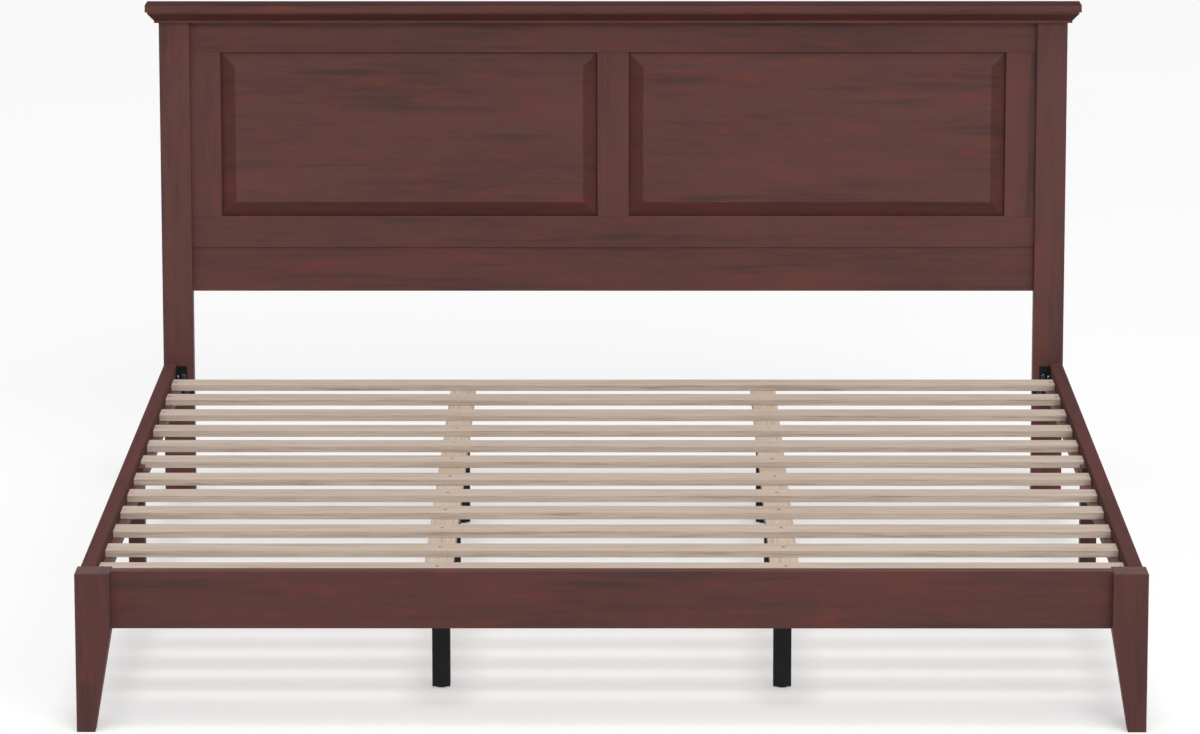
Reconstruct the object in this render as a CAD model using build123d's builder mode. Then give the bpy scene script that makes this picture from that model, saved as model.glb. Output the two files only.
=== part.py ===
from build123d import *
import os

# A king-size platform bed with a panelled headboard, in millimetres.
# +X is right seen from the foot, +Y runs from the foot to the headboard, +Z is up and the floor is Z = 0.
# The origin is at the middle of the footprint, on the floor.

# Side rails and the space between them
inner_width = 1948.0
rail_thickness = 27.5
rail_height = 89.0
rail_top = 305.5

# Foot legs and foot rail
leg_size = 66.0
leg_foot_size = 34.5
leg_reveal = 6.0
foot_rail_height = 110.5
foot_rail_thickness = 27.5
foot_rail_setback = 24.0

# Headboard posts and framed boards
post_width = 67.0
post_depth = 40.0
post_reveal = 2.0
frame_recess = 14.0
frame_thickness = 22.0
lower_board_bottom = 465.8
lower_board_height = 98.5
lower_board_recess = 2.0
bottom_rail_height = 69.7
panel_opening_height = 368.0
top_rail_height = 94.0
outer_stile_width = 67.0
middle_stile_width = 69.0

# Raised panels
panel_bevel_width = 32.5
panel_field_setback = 1.0
panel_bevel_depth = 8.0
tongue_thickness = 6.0
tongue_depth = 8.0
tongue_clearance = 0.3

# Cap and the moulding under it
cap_thickness = 17.0
cap_overhang = 28.0
moulding_setback = 4.7
moulding_lip_height = 4.0
moulding_slope_height = 16.6
moulding_strip_height = 5.0
moulding_strip_proud = 9.3
mitre_gap = 0.1

# Slats
slat_width = 64.0
slat_thickness = 13.5
slat_drop = 16.5
slat_end_gap = 0.8
middle_slat_pitch = 175.0
outward_slat_pitches = (159.3, 160.5, 169.4, 171.5, 165.5)
slat_foot_margin = 43.3
slat_head_margin = 109.3

# Slat cleats on the side rails
cleat_width = 16.0
cleat_height = 18.0
cleat_end_gap = 2.0

# Notched legs at the middle of the side rails
mid_leg_width = 40.0
mid_leg_thickness = 33.0
mid_leg_lap = 12.0
mid_leg_shift = 8.0

# Lengthwise beams and their joint blocks
beam_x = 331.0
beam_width = 54.0
beam_thickness = 20.0
beam_end_inset = 1.5
block_lap = 50.0

# Square steel legs under the beams
middle_tube_offset = 46.5
tube_pitch = 743.5
tube_size = 35.0
tube_wall = 1.5
tube_corner = 3.0
plate_width = 50.0
plate_length = 90.0
plate_thickness = 3.0
plate_corner = 5.0

# Plugs in the tube ends and the levelling feet
plug_height = 12.0
plug_clearance = 0.1
foot_radius = 11.0
foot_height = 4.0
stud_radius = 4.0
stud_length = 25.0
stud_clearance = 0.05

# Corner brackets
bracket_thickness = 2.5
bracket_top_drop = 7.5
bracket_height = 73.0
bracket_flange = 38.0
bracket_narrow_width = 22.6
bracket_ear_height = 30.0
bracket_edge_round = 2.0

# Bracket bolts
bolt_radius = 3.0
bolt_head_radius = 6.0
bolt_head_height = 4.0
bolt_length = 22.0
bolt_socket_radius = 3.0
bolt_socket_depth = 2.4
upper_bolt_drop = 23.0
upper_bolt_reach = 14.0
lower_bolt_rise = 15.0
lower_bolt_reach = 22.0

# Wood screws
screw_radius = 2.0
screw_head_radius = 4.0
screw_length = 30.0
screw_point = 4.0
screw_slot_width = 1.0
screw_slot_length = 4.4
screw_slot_depth = 1.2
screw_head_angle = 90.0
lap_screw_inset = 20.0

# Pan-head screws of the steel legs
plate_screw_radius = 2.0
plate_screw_head_radius = 4.0
plate_screw_head_height = 2.5
plate_screw_length = 16.0
plate_screw_x = 15.0
plate_screw_y = 36.0

# Dowels
dowel_radius = 4.0
dowel_length = 40.0
cap_dowel_length = 24.0
rail_dowel_spacing = 40.0
foot_dowel_spacing = 50.0
board_dowel_count = 4

# Small general sizes
hole_clearance = 0.15
edge_round = 1.5
joint_round = 1.2
slat_round = 1.0

# Places that follow from the sizes
rail_inner_x = inner_width / 2
rail_outer_x = rail_inner_x + rail_thickness
rail_bottom = rail_top - rail_height
leg_outer_x = rail_outer_x + leg_reveal
leg_inner_x = leg_outer_x - leg_size
post_outer_x = rail_outer_x + post_reveal
post_inner_x = post_outer_x - post_width

slat_half_span = middle_slat_pitch / 2 + sum(outward_slat_pitches) + slat_width / 2
rail_length = slat_foot_margin + 2 * slat_half_span + slat_head_margin
bed_length = leg_size + rail_length + post_depth
foot_y = -bed_length / 2
leg_back_y = foot_y + leg_size
head_y = leg_back_y + rail_length
post_back_y = head_y + post_depth
deck_y = leg_back_y + slat_foot_margin + slat_half_span

foot_rail_bottom = rail_top - foot_rail_height
foot_rail_front = foot_y + foot_rail_setback
foot_rail_back = foot_rail_front + foot_rail_thickness

slat_top = rail_top - slat_drop
slat_bottom = slat_top - slat_thickness
slat_half_length = rail_inner_x - slat_end_gap
cleat_inner_x = rail_inner_x - cleat_width
cleat_bottom = slat_bottom - cleat_height

mid_leg_y = deck_y + mid_leg_shift
mid_leg_front = mid_leg_y - mid_leg_width / 2
mid_leg_back = mid_leg_y + mid_leg_width / 2
lap_x = rail_inner_x - mid_leg_lap

bottom_rail_bottom = lower_board_bottom + lower_board_height
panel_bottom = bottom_rail_bottom + bottom_rail_height
panel_top = panel_bottom + panel_opening_height
cap_bottom = panel_top + top_rail_height
cap_outer_x = post_outer_x + cap_overhang
moulding_reach = cap_overhang - moulding_setback
moulding_bottom = cap_bottom - moulding_lip_height - moulding_slope_height - moulding_strip_height

frame_front_y = head_y + frame_recess
frame_back_y = frame_front_y + frame_thickness
frame_middle_y = (frame_front_y + frame_back_y) / 2
lower_board_front_y = frame_front_y + lower_board_recess
stile_edge_x = post_inner_x - outer_stile_width
panel_edge_x = middle_stile_width / 2
panel_middle_x = (panel_edge_x + stile_edge_x) / 2
panel_opening_width = stile_edge_x - panel_edge_x
panel_middle_z = (panel_bottom + panel_top) / 2
panel_field_width = panel_opening_width - 2 * panel_bevel_width
panel_field_height = panel_opening_height - 2 * panel_bevel_width
panel_front_y = frame_front_y + panel_field_setback
tongue_front_y = panel_front_y + panel_bevel_depth
tongue_back_y = tongue_front_y + tongue_thickness

beam_bottom = slat_bottom - beam_thickness
block_core_half = (middle_slat_pitch - slat_width) / 2
block_half = block_core_half + block_lap
lap_z = beam_bottom + beam_thickness / 2
plate_bottom = beam_bottom - plate_thickness

bracket_top = rail_top - bracket_top_drop
bracket_bottom = bracket_top - bracket_height
bracket_mirror = Plane.XZ.offset(-(leg_back_y + head_y) / 2)


def slat_rows():
    """Return the middle Y of every slat, from the headboard to the foot."""
    steps = [middle_slat_pitch / 2]
    for pitch in outward_slat_pitches:
        steps.append(steps[-1] + pitch)
    return [deck_y + step for step in reversed(steps)] + [deck_y - step for step in steps]


slat_y = slat_rows()
beam_front_y = slat_y[-1] - slat_width / 2 + beam_end_inset
beam_back_y = slat_y[0] + slat_width / 2 - beam_end_inset
middle_tube_y = deck_y + middle_tube_offset
tube_y = (middle_tube_y - tube_pitch, middle_tube_y, middle_tube_y + tube_pitch)

UP = (0, 0, 1)
DOWN = (0, 0, -1)
RIGHT = (1, 0, 0)
LEFT = (-1, 0, 0)
BACK = (0, 1, 0)
FRONT = (0, -1, 0)


def facing(direction, points):
    """Return a plane at each point whose normal is the given direction."""
    return [Plane(origin=point, z_dir=direction) for point in points]


# Where the slat screws go in, from the top of each slat
slat_screw_x = (-(rail_inner_x + cleat_inner_x) / 2, -beam_x, beam_x, (rail_inner_x + cleat_inner_x) / 2)
slat_screws = facing(UP, [(x, y, slat_top) for y in slat_y for x in slat_screw_x])
beam_screws = facing(UP, [(beam_x, y, slat_top) for y in slat_y])

# Where the cleat and middle-leg screws go in on the right side, from the inside
slats_per_group = len(slat_y) // 2
slat_groups = (slat_y[:slats_per_group], slat_y[slats_per_group:])
cleat_screw_y = [(behind + ahead) / 2 for group in slat_groups for behind, ahead in zip(group, group[1:])]
cleat_screws = facing(LEFT, [(cleat_inner_x, y, (cleat_bottom + slat_bottom) / 2) for y in cleat_screw_y])
lap_screws = facing(
    LEFT, [(lap_x, mid_leg_y, z) for z in (rail_bottom + lap_screw_inset, slat_top - lap_screw_inset)]
)

# Where the bracket bolts go in at the right head corner, from the outside of each flange
bolt_places = (
    (upper_bolt_reach, bracket_top - upper_bolt_drop),
    (lower_bolt_reach, bracket_bottom + lower_bolt_rise),
)
head_post_bolts = facing(
    FRONT, [(rail_inner_x - reach, head_y - bracket_thickness, z) for reach, z in bolt_places]
)
foot_leg_bolts = facing(
    BACK, [(rail_inner_x - reach, leg_back_y + bracket_thickness, z) for reach, z in bolt_places]
)
head_rail_bolts = facing(
    LEFT, [(rail_inner_x - bracket_thickness, head_y - reach, z) for reach, z in bolt_places]
)
foot_rail_bolts = facing(
    LEFT, [(rail_inner_x - bracket_thickness, leg_back_y + reach, z) for reach, z in bolt_places]
)


def end_dowels(face_x, y, middle_z, spacing):
    """Return the dowel planes at both ends of a rail that runs from side to side."""
    heights = (middle_z - spacing / 2, middle_z + spacing / 2)
    return facing(RIGHT, [(x, y, z) for x in (-face_x, face_x) for z in heights])


# Where the dowels sit, each on the middle of its joint
foot_rail_dowels = end_dowels(
    leg_inner_x,
    (foot_rail_front + foot_rail_back) / 2,
    (foot_rail_bottom + rail_top) / 2,
    foot_dowel_spacing,
)
top_rail_dowels = end_dowels(post_inner_x, frame_middle_y, (panel_top + cap_bottom) / 2, rail_dowel_spacing)
bottom_rail_dowels = end_dowels(
    post_inner_x, frame_middle_y, (bottom_rail_bottom + panel_bottom) / 2, rail_dowel_spacing
)
lower_board_dowels = end_dowels(
    post_inner_x, frame_middle_y, (lower_board_bottom + bottom_rail_bottom) / 2, rail_dowel_spacing
)
stile_middle_x = {
    "left": -(stile_edge_x + post_inner_x) / 2,
    "middle": 0.0,
    "right": (stile_edge_x + post_inner_x) / 2,
}
stile_dowels = facing(
    UP, [(x, frame_middle_y, z) for x in stile_middle_x.values() for z in (panel_bottom, panel_top)]
)
board_dowel_x = [
    post_inner_x * ((2 * index + 1) / board_dowel_count - 1) for index in range(board_dowel_count)
]
board_dowels = facing(UP, [(x, frame_middle_y, bottom_rail_bottom) for x in board_dowel_x])
post_middle_x = (post_inner_x + post_outer_x) / 2
cap_dowel_x = (-post_middle_x, -post_middle_x / 2, 0, post_middle_x / 2, post_middle_x)
cap_dowels = facing(UP, [(x, frame_middle_y, cap_bottom) for x in cap_dowel_x])


def save(piece, name):
    """Label a finished piece and write it to its own file."""
    piece.part.label = name
    export_step(piece.part, f"parts/{name}.step")


def save_pair(piece, name):
    """Save a right-hand piece, and its mirror image for the left."""
    with BuildPart() as twin:
        mirror(piece.part, about=Plane.YZ)
    save(piece, f"{name}_right")
    save(twin, f"{name}_left")


def board(x_sides, y_sides, z_sides):
    """Return a plain rectangular board between three pairs of sides."""
    with BuildPart() as plank:
        with BuildSketch(Plane.XY.offset(z_sides[0])):
            with Locations((sum(x_sides) / 2, sum(y_sides) / 2)):
                Rectangle(x_sides[1] - x_sides[0], y_sides[1] - y_sides[0])
        extrude(amount=z_sides[1] - z_sides[0])
    return plank.part


def drill(planes, radius, depth):
    """Cut a round hole of the given depth behind each plane, with the hole clearance added."""
    with Locations(*planes):
        Hole(radius + hole_clearance, depth + hole_clearance)


def drill_dowels(planes, length=dowel_length):
    """Cut the dowel holes that reach half a dowel's length to each side of a joint."""
    drill(planes, dowel_radius, length / 2)


def drill_countersunk(planes):
    """Cut countersunk holes for wood screws that go in at the given planes."""
    with Locations(*planes):
        CounterSinkHole(
            screw_radius + hole_clearance,
            screw_head_radius + hole_clearance,
            screw_length + hole_clearance,
            screw_head_angle,
        )


def nearby(planes, y_low, y_high):
    """Return the planes whose origins lie between two values of Y."""
    return [plane for plane in planes if y_low < plane.origin.Y < y_high]


os.makedirs("parts", exist_ok=True)


# Foot legs: square at the rails, tapering on the two inner faces down to the floor
def make_front_leg():
    taper_top = foot_rail_bottom
    with BuildPart() as leg:
        with BuildSketch(Plane.XY):
            with Locations((leg_outer_x, foot_y)):
                Rectangle(leg_foot_size, leg_foot_size, align=(Align.MAX, Align.MIN))
        with BuildSketch(Plane.XY.offset(taper_top)):
            with Locations((leg_outer_x, foot_y)):
                Rectangle(leg_size, leg_size, align=(Align.MAX, Align.MIN))
        loft()
        with BuildSketch(Plane.XY.offset(taper_top)):
            with Locations((leg_outer_x, foot_y)):
                Rectangle(leg_size, leg_size, align=(Align.MAX, Align.MIN))
        extrude(amount=rail_top - taper_top)
        fillet(leg.edges().group_by(Axis.Z)[-1], radius=edge_round)
        drill_dowels(foot_rail_dowels)
        drill(foot_leg_bolts, bolt_radius, bolt_length)
    return leg


save_pair(make_front_leg(), "front_leg")

# Foot rail between the foot legs
with BuildPart() as foot_rail:
    add(board((-leg_inner_x, leg_inner_x), (foot_rail_front, foot_rail_back), (foot_rail_bottom, rail_top)))
    fillet(foot_rail.edges().filter_by(Axis.X), radius=edge_round)
    drill_dowels(foot_rail_dowels)
save(foot_rail, "foot_rail")

# Side rails from the foot legs to the headboard posts
with BuildPart() as side_rail:
    add(board((rail_inner_x, rail_outer_x), (leg_back_y, head_y), (rail_bottom, rail_top)))
    fillet(side_rail.edges().filter_by(Axis.Y), radius=edge_round)
    drill(cleat_screws, screw_radius, screw_length)
    drill(lap_screws, screw_radius, screw_length)
    drill(head_rail_bolts + foot_rail_bolts, bolt_radius, bolt_length)
save_pair(side_rail, "side_rail")


# Slat cleats, one to each side of the middle leg
def make_cleat(front, back):
    with BuildPart() as cleat:
        add(board((cleat_inner_x, rail_inner_x), (front, back), (cleat_bottom, slat_bottom)))
        drill_countersunk(nearby(cleat_screws, front, back))
        drill(nearby(slat_screws, front, back), screw_radius, screw_length)
    return cleat


cleat_margin = bracket_flange + cleat_end_gap
save_pair(make_cleat(leg_back_y + cleat_margin, mid_leg_front - cleat_end_gap), "front_cleat")
save_pair(make_cleat(mid_leg_back + cleat_end_gap, head_y - cleat_margin), "rear_cleat")

# Middle legs: a shoulder under the side rail and a lap on its inner face
with BuildPart() as mid_leg:
    with BuildSketch(Plane.XZ.offset(-mid_leg_front)):
        with BuildLine():
            Polyline(
                (lap_x, 0),
                (lap_x + mid_leg_thickness, 0),
                (lap_x + mid_leg_thickness, rail_bottom),
                (rail_inner_x, rail_bottom),
                (rail_inner_x, slat_top),
                (lap_x, slat_top),
                close=True,
            )
        make_face()
    extrude(amount=-mid_leg_width)
    drill_countersunk(lap_screws)
save_pair(mid_leg, "mid_leg")


# Headboard posts, straight from the floor to the cap
with BuildPart() as head_post:
    add(board((post_inner_x, post_outer_x), (head_y, post_back_y), (0, cap_bottom)))
    fillet(head_post.edges().filter_by(Axis.Z), radius=edge_round)
    drill_dowels(top_rail_dowels + bottom_rail_dowels + lower_board_dowels)
    drill_dowels(cap_dowels, cap_dowel_length)
    drill(head_post_bolts, bolt_radius, bolt_length)
save_pair(head_post, "head_post")


# Raised panels, made on the right of the middle stile
def panel_slot():
    """Return the groove space of the right panel, its clearance included."""
    spread = tongue_depth + tongue_clearance
    return board(
        (panel_edge_x - spread, stile_edge_x + spread),
        (tongue_front_y - tongue_clearance, tongue_back_y + tongue_clearance),
        (panel_bottom - spread, panel_top + spread),
    )


def cut_grooves():
    """Cut the grooves that hold the tongues of both panels."""
    slot = panel_slot()
    add(slot, mode=Mode.SUBTRACT)
    mirror(slot, about=Plane.YZ, mode=Mode.SUBTRACT)


with BuildPart() as raised_panel:
    with BuildSketch(Plane.XZ.offset(-tongue_back_y)):
        with Locations((panel_middle_x, panel_middle_z)):
            Rectangle(panel_opening_width + 2 * tongue_depth, panel_opening_height + 2 * tongue_depth)
    extrude(amount=tongue_thickness)
    with BuildSketch(Plane.XZ.offset(-tongue_front_y)):
        with Locations((panel_middle_x, panel_middle_z)):
            Rectangle(
                panel_opening_width - 2 * tongue_clearance,
                panel_opening_height - 2 * tongue_clearance,
            )
    with BuildSketch(Plane.XZ.offset(-panel_front_y)):
        with Locations((panel_middle_x, panel_middle_z)):
            Rectangle(panel_field_width, panel_field_height)
    loft()
save_pair(raised_panel, "raised_panel")

# Headboard rails, running the full width between the posts
with BuildPart() as top_rail:
    add(board((-post_inner_x, post_inner_x), (frame_front_y, frame_back_y), (panel_top, cap_bottom)))
    fillet(top_rail.edges().filter_by(Axis.X).group_by(Axis.Z)[0].sort_by(Axis.Y)[0], radius=joint_round)
    cut_grooves()
    drill_dowels(top_rail_dowels + stile_dowels)
    drill_dowels(cap_dowels, cap_dowel_length)
save(top_rail, "headboard_top_rail")

with BuildPart() as bottom_rail:
    add(
        board(
            (-post_inner_x, post_inner_x),
            (frame_front_y, frame_back_y),
            (bottom_rail_bottom, panel_bottom),
        )
    )
    fillet(bottom_rail.edges().filter_by(Axis.X).group_by(Axis.Y)[0], radius=joint_round)
    cut_grooves()
    drill_dowels(bottom_rail_dowels + stile_dowels + board_dowels)
save(bottom_rail, "headboard_bottom_rail")

with BuildPart() as lower_board:
    add(
        board(
            (-post_inner_x, post_inner_x),
            (lower_board_front_y, frame_back_y),
            (lower_board_bottom, bottom_rail_bottom),
        )
    )
    fillet(lower_board.edges().filter_by(Axis.X).group_by(Axis.Z)[0], radius=edge_round)
    fillet(lower_board.edges().filter_by(Axis.X).group_by(Axis.Z)[-1].sort_by(Axis.Y)[0], radius=joint_round)
    drill_dowels(lower_board_dowels + board_dowels)
save(lower_board, "headboard_lower_board")

# Stiles between the two headboard rails
for place, stile_x in stile_middle_x.items():
    stile_width = middle_stile_width if place == "middle" else outer_stile_width
    with BuildPart() as stile:
        add(
            board(
                (stile_x - stile_width / 2, stile_x + stile_width / 2),
                (frame_front_y, frame_back_y),
                (panel_bottom, panel_top),
            )
        )
        cut_grooves()
        drill_dowels(stile_dowels)
    save(stile, f"{place}_stile")

# Cap board on the posts and the top rail
with BuildPart() as cap_board:
    add(
        board(
            (-cap_outer_x, cap_outer_x),
            (head_y - cap_overhang, post_back_y),
            (cap_bottom, cap_bottom + cap_thickness),
        )
    )
    fillet(cap_board.edges().group_by(Axis.Z)[-1], radius=edge_round)
    drill_dowels(cap_dowels, cap_dowel_length)
save(cap_board, "cap_board")

# Strip between the posts that fills the recess behind the moulding
with BuildPart() as backing_strip:
    add(board((-post_inner_x, post_inner_x), (head_y, frame_front_y), (moulding_bottom, cap_bottom)))
save(backing_strip, "moulding_backing_strip")


# Sloped moulding under the cap: a front length and two returns, mitred at the corners
def moulding_outline():
    """Return the corners of the moulding's section, as distance out and height."""
    slope_top = cap_bottom - moulding_lip_height
    slope_bottom = slope_top - moulding_slope_height
    return (
        (0, moulding_bottom),
        (moulding_strip_proud, moulding_bottom),
        (moulding_strip_proud, slope_bottom),
        (moulding_reach, slope_top),
        (moulding_reach, cap_bottom),
        (0, cap_bottom),
    )


right_mitre = Plane(origin=(post_outer_x, head_y, 0), z_dir=(1, 1, 0))
left_mitre = Plane(origin=(-post_outer_x, head_y, 0), z_dir=(-1, 1, 0))

with BuildPart() as front_moulding:
    with BuildSketch(Plane(origin=(0, head_y, 0), x_dir=FRONT, z_dir=LEFT)):
        with BuildLine():
            Polyline(*moulding_outline(), close=True)
        make_face()
    extrude(amount=cap_outer_x, both=True)
    split(bisect_by=right_mitre.offset(-mitre_gap / 2), keep=Keep.BOTTOM)
    split(bisect_by=left_mitre.offset(-mitre_gap / 2), keep=Keep.BOTTOM)

with BuildPart() as side_moulding:
    with BuildSketch(Plane(origin=(post_outer_x, post_back_y, 0), x_dir=RIGHT, z_dir=FRONT)):
        with BuildLine():
            Polyline(*moulding_outline(), close=True)
        make_face()
    extrude(amount=post_depth + cap_overhang)
    split(bisect_by=right_mitre.offset(mitre_gap / 2), keep=Keep.TOP)

with BuildPart() as cap_moulding:
    add(front_moulding.part)
    add(side_moulding.part)
    mirror(side_moulding.part, about=Plane.YZ)
save(cap_moulding, "cap_moulding")

# Slats, numbered from the headboard
for number, y in enumerate(slat_y, start=1):
    with BuildPart() as slat:
        add(
            board(
                (-slat_half_length, slat_half_length),
                (y - slat_width / 2, y + slat_width / 2),
                (slat_bottom, slat_top),
            )
        )
        fillet(slat.edges().filter_by(Axis.X), radius=slat_round)
        drill_countersunk(nearby(slat_screws, y - slat_width / 2, y + slat_width / 2))
    save(slat, f"slat_{number:02d}")


# Beam halves: full height up to the joint block, then a tongue under its lap
def plate_screw_planes(x, y):
    """Return the four screw planes under the plate of the steel leg at x, y."""
    columns = (x - plate_screw_x, x + plate_screw_x)
    rows = (y - plate_screw_y, y + plate_screw_y)
    return facing(DOWN, [(column, row, plate_bottom) for column in columns for row in rows])


plate_screws = [plane for y in tube_y for plane in plate_screw_planes(beam_x, y)]


def make_beam_piece(outline):
    """Return a right-hand beam piece from its outline in Y and Z, drilled for every screw that meets it."""
    with BuildPart() as beam:
        with BuildSketch(Plane.YZ.offset(beam_x - beam_width / 2)):
            with BuildLine():
                Polyline(*outline, close=True)
            make_face()
        extrude(amount=beam_width)
        drill(beam_screws, screw_radius, screw_length)
        drill(plate_screws, plate_screw_radius, plate_screw_length)
    return beam


def beam_outline(end_y, direction):
    """Return the corners of a beam half that runs from its outer end towards the middle."""
    return (
        (end_y, beam_bottom),
        (deck_y - direction * block_core_half, beam_bottom),
        (deck_y - direction * block_core_half, lap_z),
        (deck_y - direction * block_half, lap_z),
        (deck_y - direction * block_half, slat_bottom),
        (end_y, slat_bottom),
    )


save_pair(make_beam_piece(beam_outline(beam_front_y, 1)), "front_beam")
save_pair(make_beam_piece(beam_outline(beam_back_y, -1)), "rear_beam")

block_outline = (
    (deck_y - block_core_half, beam_bottom),
    (deck_y + block_core_half, beam_bottom),
    (deck_y + block_core_half, lap_z),
    (deck_y + block_half, lap_z),
    (deck_y + block_half, slat_bottom),
    (deck_y - block_half, slat_bottom),
    (deck_y - block_half, lap_z),
    (deck_y - block_core_half, lap_z),
)
save_pair(make_beam_piece(block_outline), "beam_joint_block")


# Steel legs: a square tube welded under a flat plate
def make_tube_leg(x, y):
    inside = tube_size - 2 * tube_wall
    with BuildPart() as tube_leg:
        with BuildSketch(Plane.XY.offset(foot_height)):
            with Locations((x, y)):
                RectangleRounded(tube_size, tube_size, tube_corner)
                RectangleRounded(inside, inside, tube_corner - tube_wall, mode=Mode.SUBTRACT)
        extrude(amount=plate_bottom - foot_height)
        with BuildSketch(Plane.XY.offset(plate_bottom)):
            with Locations((x, y)):
                RectangleRounded(plate_width, plate_length, plate_corner)
        extrude(amount=plate_thickness)
        drill(plate_screw_planes(x, y), plate_screw_radius, plate_screw_length)
    return tube_leg


# Levelling feet: a round disc on a threaded stud
def make_levelling_foot(x, y):
    with BuildPart() as foot:
        with BuildSketch(Plane.XY):
            with Locations((x, y)):
                Circle(foot_radius)
        extrude(amount=foot_height)
        with BuildSketch(Plane.XY.offset(foot_height)):
            with Locations((x, y)):
                Circle(stud_radius)
        extrude(amount=stud_length)
    return foot


tube_rows = ("front", "middle", "rear")
for row, y in zip(tube_rows, tube_y):
    save_pair(make_tube_leg(beam_x, y), f"steel_leg_{row}")
    save_pair(make_levelling_foot(beam_x, y), f"levelling_foot_{row}")

# Threaded plugs in the lower ends of the steel legs
plug_size = tube_size - 2 * tube_wall - 2 * plug_clearance
with BuildPart() as tube_plugs:
    with BuildSketch(Plane.XY.offset(foot_height)):
        with Locations(*[(x, y) for x in (-beam_x, beam_x) for y in tube_y]):
            RectangleRounded(plug_size, plug_size, tube_corner - tube_wall)
            Circle(stud_radius + stud_clearance, mode=Mode.SUBTRACT)
    extrude(amount=plug_height)
save(tube_plugs, "tube_plugs")

# Corner bracket: an angle with an ear at the foot of its post flange
post_flange_outline = (
    (rail_inner_x, bracket_bottom),
    (rail_inner_x - bracket_flange, bracket_bottom),
    (rail_inner_x - bracket_flange, bracket_bottom + bracket_ear_height),
    (rail_inner_x - bracket_narrow_width, bracket_bottom + bracket_ear_height),
    (rail_inner_x - bracket_narrow_width, bracket_top),
    (rail_inner_x, bracket_top),
)
with BuildPart() as head_bracket:
    with BuildSketch(Plane.XZ.offset(-head_y)):
        with BuildLine():
            Polyline(*post_flange_outline, close=True)
        make_face()
    extrude(amount=bracket_thickness)
    with BuildSketch(Plane.YZ.offset(rail_inner_x)):
        with Locations((head_y, bracket_bottom)):
            Rectangle(bracket_flange, bracket_height, align=(Align.MAX, Align.MIN))
    extrude(amount=-bracket_thickness)
    fillet(head_bracket.edges().filter_by(Axis.Y).group_by(Axis.X)[0], radius=bracket_edge_round)
    drill(head_post_bolts + head_rail_bolts, bolt_radius, bolt_length)

with BuildPart() as corner_brackets:
    add(head_bracket.part)
    mirror(about=bracket_mirror)
    mirror(about=Plane.YZ)
save(corner_brackets, "corner_brackets")

# Bracket bolts, with a round head and a hexagon socket
with BuildPart() as bolt:
    with BuildSketch(Plane.XY.offset(-bolt_length)):
        Circle(bolt_radius)
    extrude(amount=bolt_length)
    with BuildSketch(Plane.XY):
        Circle(bolt_head_radius)
    extrude(amount=bolt_head_height)
    fillet(bolt.edges().group_by(Axis.Z)[-1], radius=edge_round)
    with BuildSketch(Plane.XY.offset(bolt_head_height)):
        RegularPolygon(bolt_socket_radius, 6)
    extrude(amount=-bolt_socket_depth, mode=Mode.SUBTRACT)

with BuildPart() as bracket_bolts:
    with Locations(*head_post_bolts, *foot_leg_bolts, *head_rail_bolts, *foot_rail_bolts):
        add(bolt.part)
    mirror(about=Plane.YZ)
save(bracket_bolts, "bracket_bolts")

# Wood screws, countersunk, with a cross slot
with BuildPart() as wood_screw:
    with BuildSketch(Plane.XZ):
        with BuildLine():
            Polyline(
                (0, 0),
                (screw_head_radius, 0),
                (screw_radius, screw_radius - screw_head_radius),
                (screw_radius, screw_point - screw_length),
                (0, -screw_length),
                close=True,
            )
        make_face()
    revolve(axis=Axis.Z)
    with BuildSketch(Plane.XY):
        Rectangle(screw_slot_length, screw_slot_width)
        Rectangle(screw_slot_width, screw_slot_length)
    extrude(amount=-screw_slot_depth, mode=Mode.SUBTRACT)

with BuildPart() as wood_screws:
    with Locations(*cleat_screws, *lap_screws):
        add(wood_screw.part)
    mirror(about=Plane.YZ)
    with Locations(*slat_screws):
        add(wood_screw.part)
save(wood_screws, "wood_screws")

# Pan-head screws that hold the steel legs to the beams
with BuildPart() as plate_screw:
    with BuildSketch(Plane.XY.offset(-plate_screw_length)):
        Circle(plate_screw_radius)
    extrude(amount=plate_screw_length)
    with BuildSketch(Plane.XY):
        Circle(plate_screw_head_radius)
    extrude(amount=plate_screw_head_height)
    fillet(plate_screw.edges().group_by(Axis.Z)[-1], radius=slat_round)

with BuildPart() as plate_screw_set:
    with Locations(*plate_screws):
        add(plate_screw.part)
    mirror(about=Plane.YZ)
save(plate_screw_set, "plate_screws")


# Dowels across the joints of the headboard, the cap and the foot rail
def make_dowel(length):
    with BuildPart() as dowel:
        with BuildSketch(Plane.XY.offset(-length / 2)):
            Circle(dowel_radius)
        extrude(amount=length)
    return dowel.part


rail_dowels = foot_rail_dowels + top_rail_dowels + bottom_rail_dowels + lower_board_dowels
with BuildPart() as dowels:
    with Locations(*rail_dowels, *stile_dowels, *board_dowels):
        add(make_dowel(dowel_length))
    with Locations(*cap_dowels):
        add(make_dowel(cap_dowel_length))
save(dowels, "dowels")
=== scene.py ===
"""Looks of a king-size wooden platform bed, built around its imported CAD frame.

Everything is in metres in the part's own frame: X runs to the right seen from the foot, Y from the
foot to the headboard, Z up, and the floor is Z = 0. The CAD nodes keep their shapes and get a
finish here. The levelling feet and the welds of the steel legs are new meshes.
"""

import logging
import math
from dataclasses import dataclass
from enum import Enum
from typing import Any, Optional, Union

import bpy
import numpy as np
from mathutils import Matrix, Vector


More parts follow.
